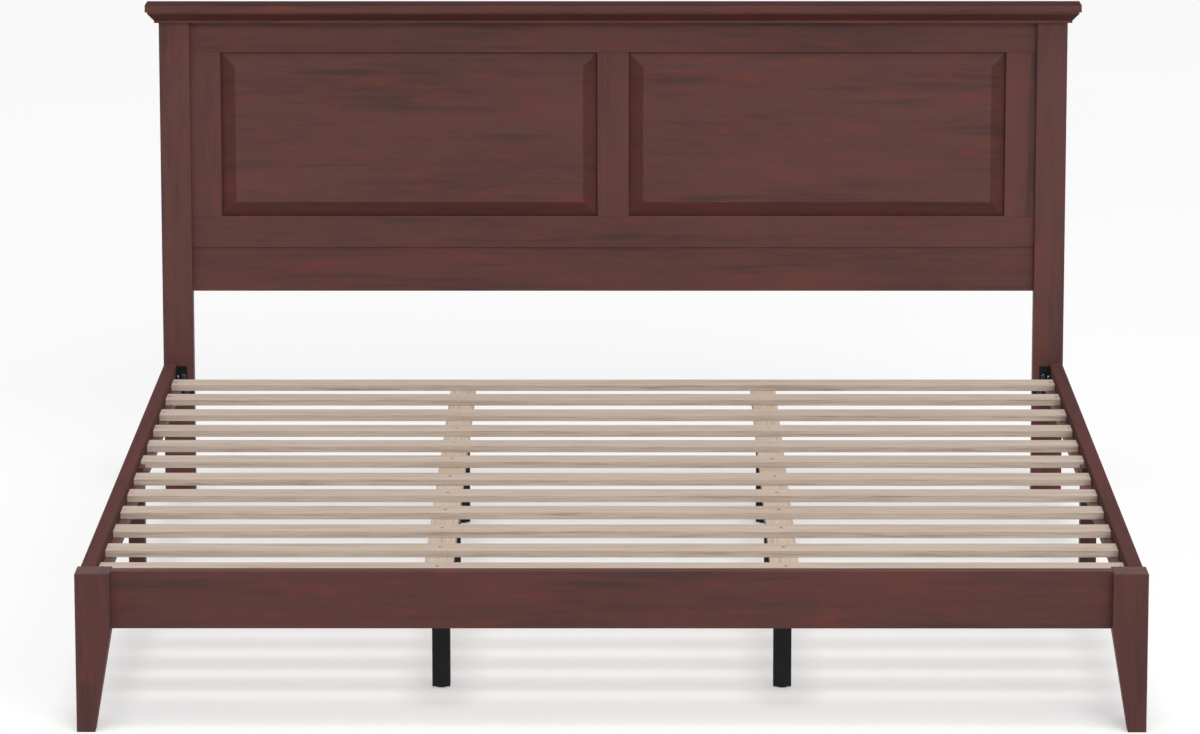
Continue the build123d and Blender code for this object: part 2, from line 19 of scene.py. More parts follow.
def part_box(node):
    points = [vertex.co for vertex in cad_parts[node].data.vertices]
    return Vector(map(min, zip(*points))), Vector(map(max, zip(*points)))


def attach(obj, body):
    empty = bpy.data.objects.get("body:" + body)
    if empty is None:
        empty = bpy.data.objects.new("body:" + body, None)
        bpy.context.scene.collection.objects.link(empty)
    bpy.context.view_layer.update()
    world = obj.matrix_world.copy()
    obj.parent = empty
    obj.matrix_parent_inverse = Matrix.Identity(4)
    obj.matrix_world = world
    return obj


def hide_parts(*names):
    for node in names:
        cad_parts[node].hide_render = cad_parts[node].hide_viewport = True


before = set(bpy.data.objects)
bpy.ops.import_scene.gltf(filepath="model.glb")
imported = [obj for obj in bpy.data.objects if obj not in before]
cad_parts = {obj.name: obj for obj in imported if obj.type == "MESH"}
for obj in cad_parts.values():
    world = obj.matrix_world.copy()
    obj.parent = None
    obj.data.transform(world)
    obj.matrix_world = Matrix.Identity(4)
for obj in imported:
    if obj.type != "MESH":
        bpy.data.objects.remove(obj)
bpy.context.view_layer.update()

LOG = logging.getLogger("platform_bed")
MILLIMETRE = 0.001

Colour = tuple[float, float, float, float]
Point = tuple[float, float, float]
Range = tuple[float, float]

WHITE: Colour = (1.0, 1.0, 1.0, 1.0)


def linear(hex_colour: str) -> Colour:
    """Turn a colour written in sRGB hex into the linear values that shaders take.

    It follows the standard's curve, which is a straight line near black and a power above it.

    Args:
        hex_colour: six hexadecimal digits after a hash sign.

    Returns:
        Red, green, blue and an alpha of one.
    """
    channels = [int(hex_colour[start:start + 2], 16) / 255 for start in (1, 3, 5)]
    red, green, blue = (
        channel / 12.92 if channel <= 0.04045 else ((channel + 0.055) / 1.055) ** 2.4
        for channel in channels
    )
    return red, green, blue, 1.0


def per_metre(millimetres: float) -> float:
    """Return how many times a feature of this size fits in a metre, which is a pattern's scale."""
    return 1000.0 / millimetres


def add_node(
    tree: bpy.types.NodeTree,
    kind: str,
    sockets: Optional[dict[Any, Any]] = None,
    stops: Optional[list[tuple[float, str]]] = None,
    **settings: Any,
) -> bpy.types.Node:
    """Add a shader node with its settings and links.

    Args:
        tree: the node tree that gets the node.
        kind: Blender's name of the node type.
        sockets: for each input, by name or number, a value or the output that is linked to it.
        stops: positions and hex colours of a colour ramp.
        **settings: properties of the node itself.

    Returns:
        The new node.
    """
    node = tree.nodes.new(kind)
    for name, value in settings.items():
        setattr(node, name, value)
    for key, value in (sockets or {}).items():
        if isinstance(value, bpy.types.NodeSocket):
            tree.links.new(value, node.inputs[key])
        else:
            node.inputs[key].default_value = value
    for number, (position, hex_colour) in enumerate(stops or []):
        elements = node.color_ramp.elements
        element = elements[number] if number < 2 else elements.new(position)
        element.position = position
        element.color = linear(hex_colour)
    return node


def blank_material(name: str) -> tuple[bpy.types.Material, bpy.types.NodeTree]:
    """Return a new node material by this name and its empty node tree."""
    material = bpy.data.materials.new(name)
    material.use_nodes = True
    material.node_tree.nodes.clear()
    return material, material.node_tree


def dress(node: str, *materials: bpy.types.Material) -> None:
    """Give a CAD node its finish by its object's material slots.

    Args:
        node: the CAD node's name.
        *materials: one material for all the slots, or one for each.
    """
    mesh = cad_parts[node].data
    for number in range(max(1, len(mesh.materials))):
        finish = materials[min(number, len(materials) - 1)]
        if number < len(mesh.materials):
            mesh.materials[number] = finish
        else:
            mesh.materials.append(finish)
    LOG.info("%s dressed in %s", node, materials[0].name)


def grid_mesh(
    name: str,
    surface: np.ndarray,
    close_rows: bool = False,
    cap_ends: bool = False,
) -> bpy.types.Object:
    """Make an object from a grid of points whose columns close on themselves.

    Point (row, column) is joined to its neighbours by quads. The columns run round the form, so the
    last column meets the first. The first and last rows either meet each other or are each closed
    by one polygon.

    Args:
        name: the object's name.
        surface: points in metres, shaped rows by columns by 3, turning so that the faces point
            outwards.
        close_rows: whether the last row meets the first.
        cap_ends: whether the first and last rows are closed by a polygon.

    Returns:
        The new object, at the origin, with its place in its mesh.
    """
    rows, columns = surface.shape[:2]
    index = np.arange(rows * columns).reshape(rows, columns)
    lower = index if close_rows else index[:-1]
    upper = np.roll(index, -1, axis=0) if close_rows else index[1:]
    corners = [lower, np.roll(lower, -1, axis=1), np.roll(upper, -1, axis=1), upper]
    faces = np.stack(corners, axis=-1).reshape(-1, 4).tolist()
    if cap_ends:
        faces.append(index[0, ::-1].tolist())
        faces.append(index[-1].tolist())
    mesh = bpy.data.meshes.new(name)
    mesh.from_pydata(surface.reshape(-1, 3).tolist(), [], faces)
    mesh.validate()
    piece = bpy.data.objects.new(name, mesh)
    bpy.context.scene.collection.objects.link(piece)
    return piece


class Grain(Enum):
    """Axis of a board's grain, held as the turn that lays it along the pattern's X axis."""

    ALONG_X = (0.0, 0.0, 0.0)
    ALONG_Y = (0.0, 0.0, -math.pi / 2)
    ALONG_Z = (0.0, math.pi / 2, 0.0)


@dataclass(frozen=True)
class BoardCut:
    """How one board was cut: the way its grain runs, and a shift for a figure of its own."""

    grain: Grain
    shift: Point

    def vector(self, tree: bpy.types.NodeTree) -> bpy.types.NodeSocket:
        """Return the board's own coordinates in metres, with X along the grain."""
        place = add_node(tree, "ShaderNodeTexCoord")
        sockets = {
            "Vector": place.outputs["Object"],
            "Rotation": self.grain.value,
            "Location": self.shift,
        }
        return add_node(tree, "ShaderNodeMapping", sockets).outputs["Vector"]


@dataclass(frozen=True)
class Patches:
    """A noise whose patches have a real size along and across the grain.

    The detail is the number of finer layers on top of the patches, and the roughness is how strong
    each of them is.
    """

    length_mm: float
    width_mm: float
    detail: float
    roughness: float = 0.5

    def noise(self, tree: bpy.types.NodeTree, vector: bpy.types.NodeSocket) -> bpy.types.NodeSocket:
        """Add the noise.

        Args:
            tree: the material's node tree.
            vector: coordinates in metres, with X along the grain.

        Returns:
            The noise's values, which are about one half on average.
        """
        return self.node(tree, vector).outputs["Fac"]

    def node(self, tree: bpy.types.NodeTree, vector: bpy.types.NodeSocket) -> bpy.types.Node:
        """Add the noise and return its node, whose Color holds three separate noises."""
        sizes = (self.length_mm, self.width_mm, self.width_mm)
        scaled = add_node(
            tree,
            "ShaderNodeVectorMath",
            {0: vector, 1: tuple(per_metre(size) for size in sizes)},
            operation="MULTIPLY",
        )
        sockets = {
            "Vector": scaled.outputs[0],
            "Scale": 1.0,
            "Detail": self.detail,
            "Roughness": self.roughness,
        }
        return add_node(tree, "ShaderNodeTexNoise", sockets)


@dataclass(frozen=True)
class Wander:
    """How far a board's figure wanders across the grain, and over what length."""

    length_mm: float
    reach_mm: float

    def bend(self, tree: bpy.types.NodeTree, vector: bpy.types.NodeSocket) -> bpy.types.NodeSocket:
        """Bend a board's coordinates so that its figure wanders as real grain does.

        The coordinates are moved, across the grain only, by a smooth noise less one half, times
        twice the reach. The noise's patches are a third as wide as they are long.

        Args:
            tree: the material's node tree.
            vector: coordinates in metres, with X along the grain.

        Returns:
            The bent coordinates.
        """
        drift = Patches(self.length_mm, self.length_mm / 3, 1.0).node(tree, vector)
        centred = add_node(
            tree,
            "ShaderNodeVectorMath",
            {0: drift.outputs["Color"], 1: (0.5, 0.5, 0.5)},
            operation="SUBTRACT",
        )
        reach = 2 * self.reach_mm * MILLIMETRE
        moved = add_node(
            tree,
            "ShaderNodeVectorMath",
            {0: centred.outputs[0], 1: (0.0, reach, reach), 2: vector},
            operation="MULTIPLY_ADD",
        )
        return moved.outputs[0]


@dataclass(frozen=True)
class PanelBevelShade:
    """The bevels round a raised panel's field, darkened on the sides and bottom as painted shade.
    """

    centre: tuple[float, float]
    field_half: tuple[float, float]
    back: float
    edge: float = 0.6 * MILLIMETRE
    tint: Point = (0.78, 0.63, 0.60)

    def mask(self, tree: bpy.types.NodeTree) -> bpy.types.NodeSocket:
        """Return one on the side and bottom bevels and zero elsewhere.

        The distance outside the field is taken along X and along Z, the latter downwards only. The
        larger of the two is above zero on those bevels. Less the distance above the field, it ends
        at the mitre with the top bevel. The distance in front of the panel's flat back keeps that
        free of the tint. The smallest of these rises from zero to one over the edge's width.

        Args:
            tree: the material's node tree.

        Returns:
            The mask.
        """
        place = add_node(tree, "ShaderNodeTexCoord")
        axes = add_node(tree, "ShaderNodeSeparateXYZ", {"Vector": place.outputs["Object"]})
        top, bottom = self.centre[1] + self.field_half[1], self.centre[1] - self.field_half[1]
        kind, x, z = "ShaderNodeMath", axes.outputs["X"], axes.outputs["Z"]
        offset = add_node(tree, kind, {0: x, 1: self.centre[0]}, operation="SUBTRACT").outputs[0]
        offset = add_node(tree, kind, {0: offset}, operation="ABSOLUTE").outputs[0]
        ends = {0: offset, 1: self.field_half[0]}
        across = add_node(tree, kind, ends, operation="SUBTRACT").outputs[0]
        above = add_node(tree, kind, {0: z, 1: top}, operation="SUBTRACT").outputs[0]
        below = add_node(tree, kind, {0: bottom, 1: z}, operation="SUBTRACT").outputs[0]
        ends = {0: self.back, 1: axes.outputs["Y"]}
        ahead = add_node(tree, kind, ends, operation="SUBTRACT").outputs[0]
        outside = add_node(tree, kind, {0: across, 1: below}, operation="MAXIMUM").outputs[0]
        clear = add_node(tree, kind, {0: outside, 1: above}, operation="SUBTRACT").outputs[0]
        least = add_node(tree, kind, {0: outside, 1: clear}, operation="MINIMUM").outputs[0]
        least = add_node(tree, kind, {0: least, 1: ahead}, operation="MINIMUM").outputs[0]
        soft = add_node(tree, "ShaderNodeMapRange", {"Value": least, 1: 0.0, 2: self.edge})
        return soft.outputs[0]


@dataclass(frozen=True)
class PaintedShadeBand:
    """A band of a board between two heights, painted darker as shade."""

    low: float
    high: float
    edge: float = 0.4 * MILLIMETRE
    tint: Point = (0.56, 0.36, 0.33)

    @classmethod
    def top_of(cls, node: str, depth: float, tint: Point) -> "PaintedShadeBand":
        """Return the band that covers a board's top face.

        Its upper height lies far above the board, so that only the lower one shows.

        Args:
            node: the board's CAD node.
            depth: how far the band comes down the edges.
            tint: what the board's colour is multiplied by.

        Returns:
            The band.
        """
        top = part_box(node)[1].z
        return cls(low=top - depth, high=2 * top, tint=tint)

    def mask(self, tree: bpy.types.NodeTree) -> bpy.types.NodeSocket:
        """Return one between the band's two heights, and zero above and below them.

        The smaller of the distances from the lower and from the upper height is above zero in the
        band.

        Args:
            tree: the material's node tree.

        Returns:
            The mask.
        """
        place = add_node(tree, "ShaderNodeTexCoord")
        axes = add_node(tree, "ShaderNodeSeparateXYZ", {"Vector": place.outputs["Object"]})
        height = axes.outputs["Z"]
        over = add_node(tree, "ShaderNodeMath", {0: height, 1: self.low}, operation="SUBTRACT")
        under = add_node(tree, "ShaderNodeMath", {0: self.high, 1: height}, operation="SUBTRACT")
        gaps = {0: over.outputs[0], 1: under.outputs[0]}
        least = add_node(tree, "ShaderNodeMath", gaps, operation="MINIMUM").outputs[0]
        soft = add_node(tree, "ShaderNodeMapRange", {"Value": least, 1: 0.0, 2: self.edge})
        return soft.outputs[0]


@dataclass(frozen=True)
class StainedPoplar:
    """Poplar planed smooth, sprayed with a cherry stain and a thin satin lacquer.

    The soft wood drinks the stain unevenly, which gives the eye a brown red with soft streaks along
    the grain, a few long grey streaks, small redder blotches, and a low, wide sheen in place of a
    mirror. A share is how much of a finer pattern is mixed in. A range is between which values of
    its noise a colour comes in. The real fibres are a third of a millimetre wide, and are drawn ten
    times coarser, so that they show.
    """

    umber: str = "#573b38"
    cherry: str = "#61413e"
    russet: str = "#6a433e"
    grey: str = "#453838"
    blush: str = "#7c3f36"
    cloud: Patches = Patches(420.0, 90.0, 3.0, 0.55)
    streak: Patches = Patches(200.0, 12.0, 4.0, 0.6)
    fibre: Patches = Patches(45.0, 3.0, 4.0, 0.65)
    shadow: Patches = Patches(520.0, 26.0, 3.0, 0.55)
    blotch: Patches = Patches(110.0, 26.0, 4.0, 0.65)
    wander: Wander = Wander(420.0, 12.0)
    streak_share: float = 0.45
    fibre_share: float = 0.27
    umber_at: float = 0.36
    cherry_at: float = 0.50
    russet_at: float = 0.64
    grey_range: Range = (0.56, 0.76)
    grey_most: float = 0.9
    blush_range: Range = (0.54, 0.80)
    blush_most: float = 0.72
    relief: float = 0.12
    relief_depth: float = 0.3 * MILLIMETRE
    roughness: float = 0.52
    roughness_spread: float = 0.05
    specular: float = 0.09
    ior: float = 1.5

    def colour(
        self,
        tree: bpy.types.NodeTree,
        figure: bpy.types.NodeSocket,
        fibre: bpy.types.NodeSocket,
    ) -> bpy.types.NodeSocket:
        """Mix the stain's colours over a board's figure.

        Args:
            tree: the material's node tree.
            figure: the board's bent coordinates.
            fibre: the noise of its fibres.

        Returns:
            The colour.
        """
        cloud, streak = self.cloud.noise(tree, figure), self.streak.noise(tree, figure)
        shares = {0: self.streak_share, 2: cloud, 3: streak}
        soft = add_node(tree, "ShaderNodeMix", shares, data_type="FLOAT")
        shares = {0: self.fibre_share, 2: soft.outputs[0], 3: fibre}
        tone = add_node(tree, "ShaderNodeMix", shares, data_type="FLOAT")
        stops = [
            (self.umber_at, self.umber),
            (self.russet_at, self.russet),
            (self.cherry_at, self.cherry),
        ]
        base = add_node(tree, "ShaderNodeValToRGB", {"Fac": tone.outputs[0]}, stops)
        colour = base.outputs["Color"]
        for patches, (start, end), most, over in (
            (self.shadow, self.grey_range, self.grey_most, self.grey),
            (self.blotch, self.blush_range, self.blush_most, self.blush),
        ):
            rise = {"Value": patches.noise(tree, figure), 1: start, 2: end, 3: 0.0, 4: most}
            share = add_node(tree, "ShaderNodeMapRange", rise)
            layers = {0: share.outputs[0], 6: colour, 7: linear(over)}
            colour = add_node(tree, "ShaderNodeMix", layers, data_type="RGBA").outputs[2]
        return colour

    def material(
        self, name: str, cut: BoardCut, darker: Union[PanelBevelShade, PaintedShadeBand, None] = None
    ) -> bpy.types.Material:
        """Build the finish for one board.

        Args:
            name: the material's name.
            cut: how the board was cut.
            darker: the faces of the board that get a painted shade.

        Returns:
            The material.
        """
        material, tree = blank_material(name)
        figure = self.wander.bend(tree, cut.vector(tree))
        fibre = self.fibre.noise(tree, figure)
        colour = self.colour(tree, figure, fibre)
        # painted shade: the colour is multiplied by a darker tint on the shaded faces
        if darker is not None:
            tints = {0: darker.mask(tree), 6: WHITE, 7: darker.tint + (1.0,)}
            shade = add_node(tree, "ShaderNodeMix", tints, data_type="RGBA")
            colour = add_node(
                tree,
                "ShaderNodeMix",
                {0: 1.0, 6: colour, 7: shade.outputs[2]},
                data_type="RGBA",
                blend_type="MULTIPLY",
            ).outputs[2]
        spread = self.roughness_spread
        ends = {"Value": fibre, 3: self.roughness + spread, 4: self.roughness - spread}
        grip = add_node(tree, "ShaderNodeMapRange", ends)
        relief = add_node(
            tree,
            "ShaderNodeBump",
            {"Height": fibre, "Strength": self.relief, "Distance": self.relief_depth},
        )
        surface = add_node(
            tree,
            "ShaderNodeBsdfPrincipled",
            {
                "Base Color": colour,
                "Roughness": grip.outputs[0],
                "Specular IOR Level": self.specular,
                "IOR": self.ior,
                "Normal": relief.outputs["Normal"],
            },
        )
        add_node(tree, "ShaderNodeOutputMaterial", {"Surface": surface.outputs[0]})
        return material


@dataclass(frozen=True)
class PlanedPoplar:
    """Pale poplar or pine, planed and left without a finish.

    It gives the eye a dry, chalky, pinkish beige with fine darker lines along the grain and hardly
    any gloss. The real fibres are finer than half a millimetre and are drawn coarser, so that they
    show.
    """

    pale: str = "#c5b6a8"
    beige: str = "#baa899"
    line: str = "#9e8b7c"
    blotches: Patches = Patches(420.0, 60.0, 2.0)
    lines: Patches = Patches(300.0, 6.0, 3.0, 0.6)
    fibres: Patches = Patches(70.0, 2.5, 2.0, 0.6)
    wander: Wander = Wander(600.0, 6.0)
    line_share: float = 0.72
    fibre_share: float = 0.36
    line_at: float = 0.36
    beige_at: float = 0.47
    pale_at: float = 0.60
    relief: float = 0.25
    relief_depth: float = 0.3 * MILLIMETRE
    roughness: float = 0.72
    specular: float = 0.25
    ior: float = 1.5

    def material(self, name: str, cut: BoardCut) -> bpy.types.Material:
        """Build the finish for one board.

        Args:
            name: the material's name.
            cut: how the board was cut.

        Returns:
            The material.
        """
        material, tree = blank_material(name)
        figure = self.wander.bend(tree, cut.vector(tree))
        blotch, line = self.blotches.noise(tree, figure), self.lines.noise(tree, figure)
        fibre = self.fibres.noise(tree, figure)
        shares = {0: self.line_share, 2: blotch, 3: line}
        soft = add_node(tree, "ShaderNodeMix", shares, data_type="FLOAT")
        shares = {0: self.fibre_share, 2: soft.outputs[0], 3: fibre}
        tone = add_node(tree, "ShaderNodeMix", shares, data_type="FLOAT")
        stops = [(self.line_at, self.line), (self.pale_at, self.pale), (self.beige_at, self.beige)]
        colour = add_node(tree, "ShaderNodeValToRGB", {"Fac": tone.outputs[0]}, stops)
        relief = add_node(
            tree,
            "ShaderNodeBump",
            {"Height": fibre, "Strength": self.relief, "Distance": self.relief_depth},
        )
        surface = add_node(
            tree,
            "ShaderNodeBsdfPrincipled",
            {
                "Base Color": colour.outputs["Color"],
                "Roughness": self.roughness,
                "Specular IOR Level": self.specular,
                "IOR": self.ior,
                "Normal": relief.outputs["Normal"],
            },
        )
        add_node(tree, "ShaderNodeOutputMaterial", {"Surface": surface.outputs[0]})
        return material


@dataclass(frozen=True)
class PowderCoat:
    """Black polyester powder coat on steel, baked.

    It gives the eye a soft, even black with the faint orange peel of the melted powder.
    """

    colour: str = "#19191a"
    worn: str = "#202021"
    colour_at: float = 0.35
    worn_at: float = 0.70
    peel_mm: float = 3.0
    patch_mm: float = 45.0
    relief: float = 0.2
    relief_depth: float = 0.1 * MILLIMETRE
    roughness: float = 0.45
    roughness_rise: float = 0.1
    specular: float = 0.18
    ior: float = 1.5

    def material(self, name: str) -> bpy.types.Material:
        """Build the finish by this name."""
        material, tree = blank_material(name)
        place = add_node(tree, "ShaderNodeTexCoord").outputs["Object"]
        pattern = {"Vector": place, "Scale": per_metre(self.peel_mm), "Detail": 2.0}
        peel = add_node(tree, "ShaderNodeTexNoise", pattern).outputs["Fac"]
        pattern = {"Vector": place, "Scale": per_metre(self.patch_mm), "Detail": 3.0}
        patch = add_node(tree, "ShaderNodeTexNoise", pattern).outputs["Fac"]
        stops = [(self.colour_at, self.colour), (self.worn_at, self.worn)]
        colour = add_node(tree, "ShaderNodeValToRGB", {"Fac": patch}, stops)
        rise = {"Value": patch, 3: self.roughness, 4: self.roughness + self.roughness_rise}
        grip = add_node(tree, "ShaderNodeMapRange", rise)
        relief = add_node(
            tree,
            "ShaderNodeBump",
            {"Height": peel, "Strength": self.relief, "Distance": self.relief_depth},
        )
        surface = add_node(
            tree,
            "ShaderNodeBsdfPrincipled",
            {
                "Base Color": colour.outputs["Color"],
                "Roughness": grip.outputs[0],
                "Specular IOR Level": self.specular,
                "IOR": self.ior,
                "Normal": relief.outputs["Normal"],
            },
        )
        add_node(tree, "ShaderNodeOutputMaterial", {"Surface": surface.outputs[0]})
        return material


@dataclass(frozen=True)
class MouldedPlastic:
    """Black polypropylene moulded in an etched tool.

    It gives the eye a dull dark grey black with a very fine grain.
    """

    colour: str = "#242424"
    dusty: str = "#2e2d2c"
    colour_at: float = 0.40
    dusty_at: float = 0.70
    grain_mm: float = 1.0
    haze_mm: float = 12.0
    relief: float = 0.2
    relief_depth: float = 0.05 * MILLIMETRE
    roughness: float = 0.55
    ior: float = 1.49

    def material(self, name: str) -> bpy.types.Material:
        """Build the finish by this name."""
        material, tree = blank_material(name)
        place = add_node(tree, "ShaderNodeTexCoord").outputs["Object"]
        pattern = {"Vector": place, "Scale": per_metre(self.grain_mm), "Detail": 2.0}
        etched = add_node(tree, "ShaderNodeTexNoise", pattern).outputs["Fac"]
        pattern = {"Vector": place, "Scale": per_metre(self.haze_mm), "Detail": 2.0}
        haze = add_node(tree, "ShaderNodeTexNoise", pattern).outputs["Fac"]
        stops = [(self.colour_at, self.colour), (self.dusty_at, self.dusty)]
        colour = add_node(tree, "ShaderNodeValToRGB", {"Fac": haze}, stops)
        relief = add_node(
            tree,
            "ShaderNodeBump",
            {"Height": etched, "Strength": self.relief, "Distance": self.relief_depth},
        )
        surface = add_node(
            tree,
            "ShaderNodeBsdfPrincipled",
            {
                "Base Color": colour.outputs["Color"],
                "Roughness": self.roughness,
                "IOR": self.ior,
                "Normal": relief.outputs["Normal"],
            },
        )
        add_node(tree, "ShaderNodeOutputMaterial", {"Surface": surface.outputs[0]})
        return material


@dataclass(frozen=True)
class BrightZinc:
    """Steel fasteners, cold formed and electroplated with bright zinc.

    It gives the eye small cool silver glints, a little uneven where the plating is.
    """

    bright: str = "#c6c8ca"
    dull: str = "#a3a5a8"
    dull_at: float = 0.35
    bright_at: float = 0.65
    blotch_mm: float = 2.5
    roughness: float = 0.28
    roughness_spread: float = 0.08

    def material(self, name: str) -> bpy.types.Material:
        """Build the finish by this name."""
        material, tree = blank_material(name)
        place = add_node(tree, "ShaderNodeTexCoord").outputs["Object"]
        pattern = {"Vector": place, "Scale": per_metre(self.blotch_mm), "Detail": 3.0}
        blotch = add_node(tree, "ShaderNodeTexNoise", pattern).outputs["Fac"]
        stops = [(self.dull_at, self.dull), (self.bright_at, self.bright)]
        colour = add_node(tree, "ShaderNodeValToRGB", {"Fac": blotch}, stops).outputs["Color"]
        spread = self.roughness_spread
        ends = {"Value": blotch, 3: self.roughness + spread, 4: self.roughness - spread}
        grip = add_node(tree, "ShaderNodeMapRange", ends)
        surface = add_node(
            tree,
            "ShaderNodeBsdfPrincipled",
            {"Base Color": colour, "Metallic": 1.0, "Roughness": grip.outputs[0]},
        )
        add_node(tree, "ShaderNodeOutputMaterial", {"Surface": surface.outputs[0]})
        return material


@dataclass
class Workshop:
    """Hands out the finishes, and gives each board its own cut of wood.

    The dry stain has hardly any gloss, for boards whose tops are seen at a grazing angle. The foot
    stain is a darker copy of the stain, as painted shade, because the foot end stands nearer to
    the light.

    The shifts come from a seeded generator in the order in which boards are asked for, so every run
    is the same.
    """

    stain: StainedPoplar = StainedPoplar()
    dry_stain: StainedPoplar = StainedPoplar(roughness=0.62, specular=0.01)
    # painted shade: the stain made darker for the foot end, which catches more light
    shaded_foot_stain: StainedPoplar = StainedPoplar(
        umber="#4b322f",
        cherry="#553734",
        russet="#5e3934",
        grey="#3d3232",
        blush="#703830",
        specular=0.07,
    )
    planed: PlanedPoplar = PlanedPoplar()
    seed: int = 7
    spread: float = 9.0

    def __post_init__(self) -> None:
        """Start the generator of the boards' shifts."""
        self.shifts = np.random.default_rng(self.seed)

    def cut(self, grain: Grain) -> BoardCut:
        """Return a fresh cut with its grain along this axis."""
        shift = self.shifts.uniform(-self.spread, self.spread, 3)
        return BoardCut(grain, tuple(float(value) for value in shift))

    def stained(
        self,
        node: str,
        grain: Grain,
        finish: Optional[StainedPoplar] = None,
        darker: Union[PanelBevelShade, PaintedShadeBand, None] = None,
    ) -> None:
        """Dress a CAD board in the stained finish.

        Args:
            node: the board's CAD node.
            grain: the axis along which its grain runs.
            finish: a coat other than the usual one.
            darker: the faces of the board that get a painted shade.
        """
        name = f"cherry_stained_poplar_{node}"
        dress(node, (finish or self.stain).material(name, self.cut(grain), darker))

    def pale(self, node: str, grain: Grain, finish: Optional[PlanedPoplar] = None) -> None:
        """Dress a CAD board in bare planed wood."""
        dress(node, (finish or self.planed).material(f"planed_poplar_{node}", self.cut(grain)))


@dataclass
class Headboard:
    """The posts, the panelled frame between them, the cap and its moulding.

    The moulding's slope, which gets a painted shade, lies between its low and its high height. The
    cap's edge is how far the painted shade on the cap's top comes down.
    """

    upright: tuple[str, ...] = (
        "head_post_left",
        "head_post_right",
        "left_stile",
        "middle_stile",
        "right_stile",
    )
    level: tuple[str, ...] = (
        "headboard_top_rail",
        "headboard_bottom_rail",
        "headboard_lower_board",
        "moulding_backing_strip",
    )
    panels: tuple[str, ...] = ("raised_panel_left", "raised_panel_right")
    bevel_width: float = 32.5 * MILLIMETRE
    tongue_width: float = 8.0 * MILLIMETRE
    slope_low: float = 1075.4 * MILLIMETRE
    slope_high: float = 1092.0 * MILLIMETRE
    # how far the painted shade on the cap's top comes down, and its tint
    cap_edge: float = 1.4 * MILLIMETRE
    cap_shade_tint: Point = (0.42, 0.32, 0.32)

    def bevels(self, node: str) -> PanelBevelShade:
        """Return where a raised panel's bevels lie, from its box, its tongue and their width."""
        low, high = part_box(node)
        reach = self.bevel_width + self.tongue_width
        return PanelBevelShade(
            centre=((low.x + high.x) / 2, (low.z + high.z) / 2),
            field_half=((high.x - low.x) / 2 - reach, (high.z - low.z) / 2 - reach),
            back=high.y,
        )

    def build(self, workshop: Workshop) -> None:
        """Dress every board with its grain along its length."""
        for node in self.upright:
            workshop.stained(node, Grain.ALONG_Z)
        for node in self.level:
            workshop.stained(node, Grain.ALONG_X)
        for node in self.panels:
            # the panels' side and bottom bevels get a painted shade
            workshop.stained(node, Grain.ALONG_X, darker=self.bevels(node))
        # painted shade darkens the cap's top face
        top = PaintedShadeBand.top_of("cap_board", self.cap_edge, self.cap_shade_tint)
        workshop.stained("cap_board", Grain.ALONG_X, workshop.dry_stain, top)
        # painted shade on the moulding's slope, which faces down under the cap
        slope = PaintedShadeBand(self.slope_low, self.slope_high)
        workshop.stained("cap_moulding", Grain.ALONG_X, darker=slope)


@dataclass
class FootAndSides:
    """The foot legs, the foot rail, the side rails, and the notched legs at their middles."""

    upright: tuple[str, ...] = (
        "front_leg_left",
        "front_leg_right",
        "mid_leg_left",
        "mid_leg_right",
    )
    crosswise: tuple[str, ...] = ("foot_rail",)
    lengthwise: tuple[str, ...] = ("side_rail_left", "side_rail_right")
    # how far the painted shade on the rails' tops comes down, and its tint
    rail_edge: float = 0.8 * MILLIMETRE
    rail_shade_tint: Point = (0.78, 0.74, 0.74)

    def build(self, workshop: Workshop) -> None:
        """Dress every board with its grain along its length."""
        for node in self.upright:
            # the foot end's boards get the darker copy of the stain, as painted shade
            workshop.stained(node, Grain.ALONG_Z, workshop.shaded_foot_stain)
        for node in self.crosswise:
            workshop.stained(node, Grain.ALONG_X, workshop.shaded_foot_stain)
        for node in self.lengthwise:
            # painted shade darkens the side rails' top faces
            top = PaintedShadeBand.top_of(node, self.rail_edge, self.rail_shade_tint)
            workshop.stained(node, Grain.ALONG_Y, workshop.dry_stain, top)


@dataclass
class SlatDeck:
    """The slats, the cleats and beams that carry them, and the joint blocks of the beams."""

    slat_count: int = 12
    block_wood: PlanedPoplar = PlanedPoplar(pale="#bfae9b", beige="#b4a28e", line="#95826f")

    def build(self, workshop: Workshop) -> None:
        """Dress every board with its grain along its length, and the joint blocks across."""
        for number in range(1, self.slat_count + 1):
            workshop.pale(f"slat_{number:02d}", Grain.ALONG_X)
        for side in ("left", "right"):
            workshop.pale(f"front_beam_{side}", Grain.ALONG_Y)
            workshop.pale(f"rear_beam_{side}", Grain.ALONG_Y)
            workshop.pale(f"beam_joint_block_{side}", Grain.ALONG_X, self.block_wood)
            workshop.stained(f"front_cleat_{side}", Grain.ALONG_Y)
            workshop.stained(f"rear_cleat_{side}", Grain.ALONG_Y)


